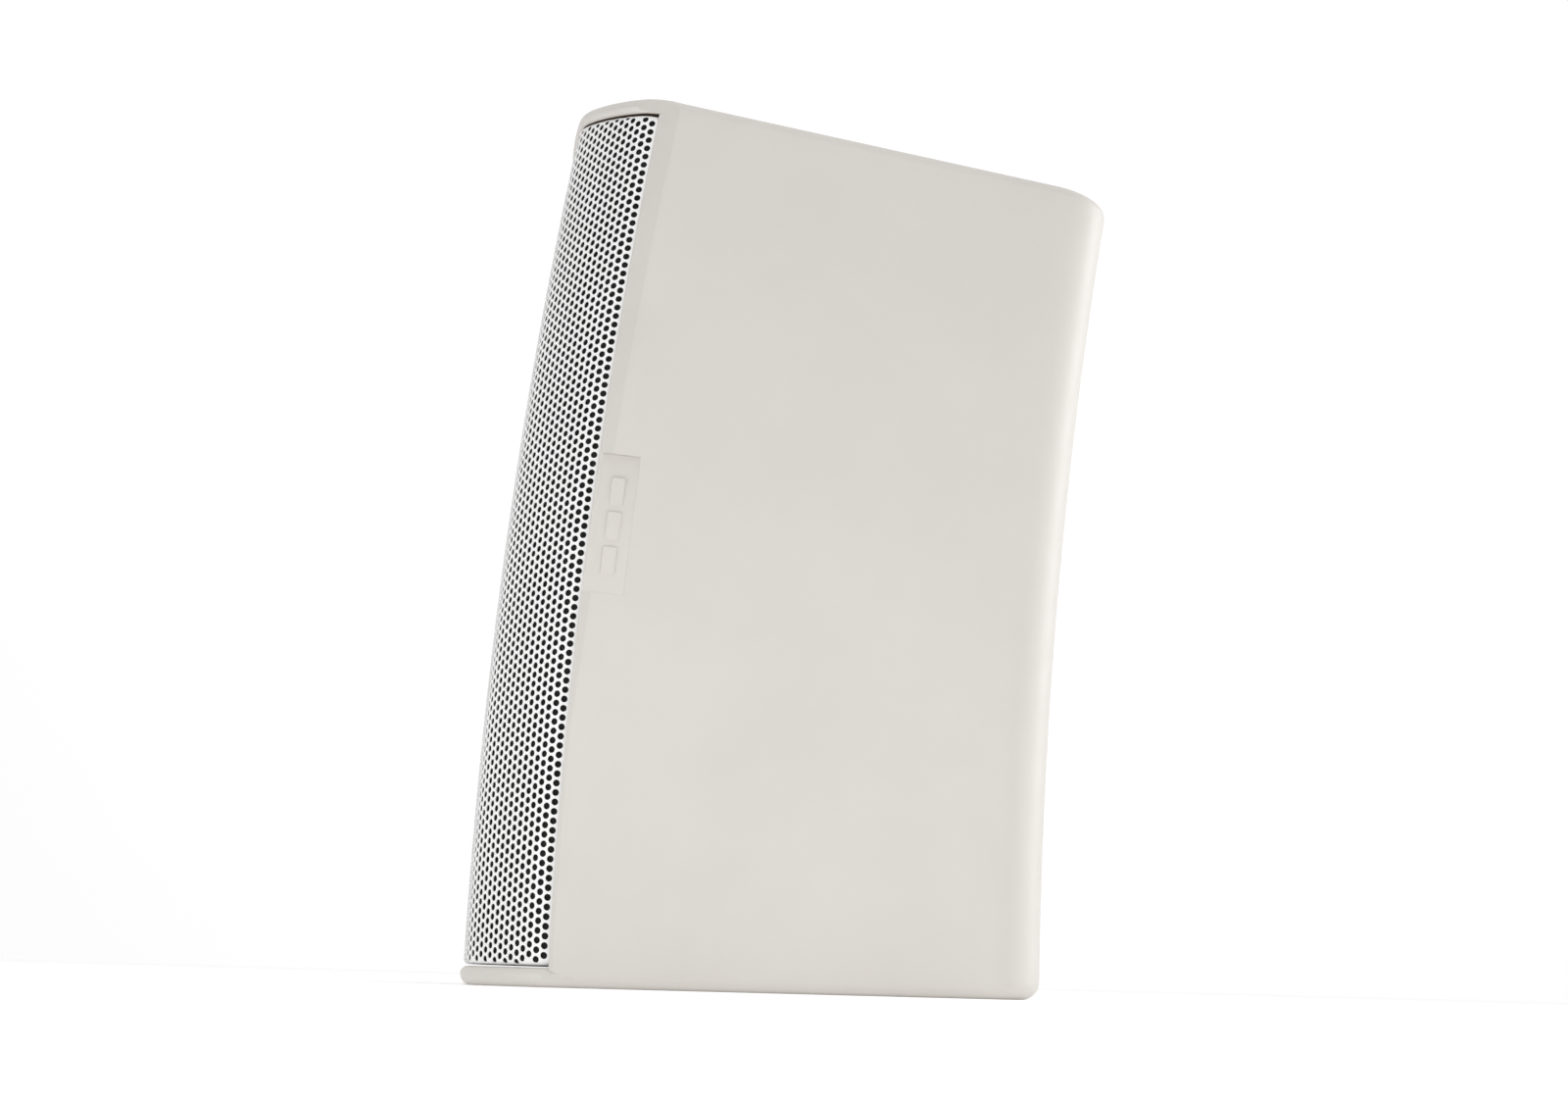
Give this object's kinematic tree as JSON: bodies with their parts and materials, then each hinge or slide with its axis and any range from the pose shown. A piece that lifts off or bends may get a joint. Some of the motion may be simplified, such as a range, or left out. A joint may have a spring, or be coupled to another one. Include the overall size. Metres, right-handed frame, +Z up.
{
  "type": "bookshelf speaker",
  "caption": "Two-way bookshelf loudspeaker with a bent off-white cabinet, a wrap-round perforated grille, and terminals and a tap selector recessed in the rear.",
  "frame": {"origin": "centre of the bounding box in X and Y, on the plane of the flat bottom", "axes": "+Z up, the grille faces -Y, the badge is on the +X side"},
  "size_m": [0.25, 0.2848, 0.4025],
  "materials": {
    "shell": "fine spark-eroded texture, warm off-white",
    "badge": "fine spark-eroded texture, same plastic as the shell",
    "grille": "satin white powder coat on perforated steel",
    "foam": "open-cell black foam",
    "black_plastic": "moulded, fine texture",
    "red_plastic": "moulded, red",
    "basket": "black satin paint on pressed steel",
    "rubber": "moulded butyl rubber",
    "cone": "mineral-filled polypropylene, dark grey",
    "silk": "coated silk",
    "spider": "resin-treated cotton",
    "winding": "enamelled copper wire",
    "steel": "zinc-plated steel",
    "ferrite": "sintered ferrite",
    "brass": "turned brass",
    "board": "solder-masked glass-epoxy board",
    "film": "wrapped plastic film",
    "resistor": "cement body",
    "wadding": "polyester wadding",
    "screws": "black or bright zinc plate"
  },
  "bodies": {
    "root": {"acoustic_lining": "wadding", "baffle_gasket": "foam", "baffle_screw_1": "screws", "baffle_screw_2": "screws", "baffle_screw_3": "screws", "baffle_screw_4": "screws", "cabinet_shell": "shell", "crossover_board": "board", "crossover_inductor": "winding", "film_capacitor": "film", "front_baffle": "black_plastic", "input_cup": "black_plastic", "insert_bottom": "brass", "insert_rear_lower": "brass", "insert_rear_upper": "brass", "insert_top": "brass", "plate_screw_1": "screws", "plate_screw_2": "screws", "plate_screw_3": "screws", "plate_screw_4": "screws", "port_tube_left": "black_plastic", "port_tube_right": "black_plastic", "power_resistor": "resistor", "side_badge": "badge", "tap_switch": "black_plastic", "terminal_post_black": "brass", "terminal_post_red": "brass", "transformer_core": "steel", "transformer_winding": "winding", "tweeter_front_plate": "steel", "tweeter_magnet": "ferrite", "tweeter_pole_yoke": "steel", "tweeter_rear_cup": "black_plastic", "tweeter_waveguide": "black_plastic", "waveguide_screw_1": "screws", "waveguide_screw_2": "screws", "waveguide_screw_3": "screws", "waveguide_screw_4": "screws", "woofer_basket": "basket", "woofer_front_plate": "steel", "woofer_gasket": "foam", "woofer_magnet": "ferrite", "woofer_pole_yoke": "steel", "woofer_screw_1": "screws", "woofer_screw_2": "screws", "woofer_screw_3": "screws", "woofer_screw_4": "screws", "woofer_spider": "spider", "woofer_surround": "rubber"},
    "woofer_motor": {"woofer_cone": "cone", "woofer_dust_cap": "cone", "woofer_voice_coil": "winding"},
    "tweeter_motor": {"tweeter_dome": "silk", "tweeter_voice_coil": "winding"},
    "grille_cover": {"grille": "grille", "grille_cloth": "foam"},
    "selector": {"selector_knob": "black_plastic"},
    "terminal_red": {"terminal_knob_red": "red_plastic"},
    "terminal_black": {"terminal_knob_black": "black_plastic"}
  },
  "joints": [
    {"name": "woofer_excursion", "type": "slide", "parent": "root", "child": "woofer_motor", "axis": [0, -0.9989, 0.0467], "range_m": [-0.005, 0.005], "stiffness_N_per_m": 2000},
    {"name": "tweeter_excursion", "type": "slide", "parent": "root", "child": "tweeter_motor", "axis": [0, -0.9933, 0.1155], "range_m": [-0.0003, 0.0003], "stiffness_N_per_m": 3000},
    {"name": "grille_pull", "type": "slide", "parent": "root", "child": "grille_cover", "axis": [0, -0.9971, 0.0762], "range_m": [0, 0.06]},
    {"name": "selector_turn", "type": "hinge", "parent": "root", "child": "selector", "pos_m": [-0.028, 0.08774, 0.10403], "axis": [0, 0.9991, -0.0429], "range_deg": [-75, 75]},
    {"name": "terminal_red_turn", "type": "hinge", "parent": "root", "child": "terminal_red", "pos_m": [0.0385, 0.08791, 0.10803], "axis": [0, 0.9991, -0.0429], "range_deg": [0, 1080]},
    {"name": "terminal_black_turn", "type": "hinge", "parent": "root", "child": "terminal_black", "pos_m": [0.0195, 0.08791, 0.10803], "axis": [0, 0.9991, -0.0429], "range_deg": [0, 1080]}
  ]
}
